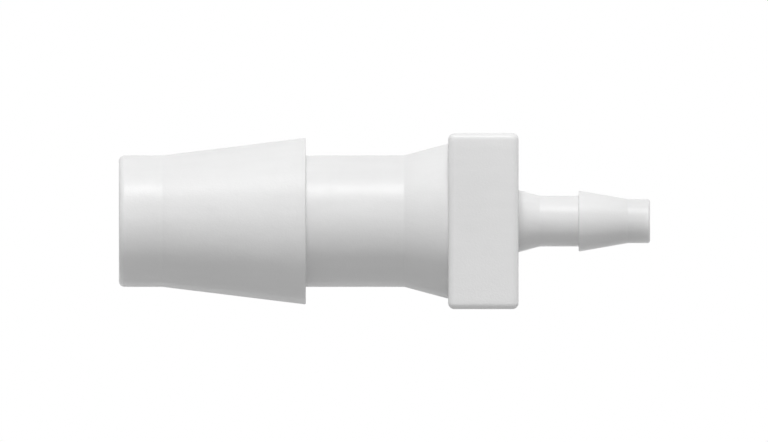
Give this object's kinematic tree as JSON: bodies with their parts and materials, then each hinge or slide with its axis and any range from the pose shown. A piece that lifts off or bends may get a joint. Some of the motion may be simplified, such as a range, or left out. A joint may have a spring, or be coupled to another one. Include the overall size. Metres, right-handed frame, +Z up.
{
  "type": "reducing hose nipple",
  "caption": "Moulded plastic reducing nipple: a barbed tail for a large hose and one for a small hose, with a square collar between them and a stepped bore right through.",
  "frame": {"origin": "centre of the square collar, on the hose axis", "axes": "+X along the hose axis from the large tail to the small tail, +Z up, square to the collar flat that the nipple lies on"},
  "size_m": [0.0513, 0.017, 0.017],
  "materials": {
    "moulded_plastic": "satin white, as moulded"
  },
  "bodies": {
    "root": {"hose_nipple": "moulded_plastic"}
  },
  "joints": []
}
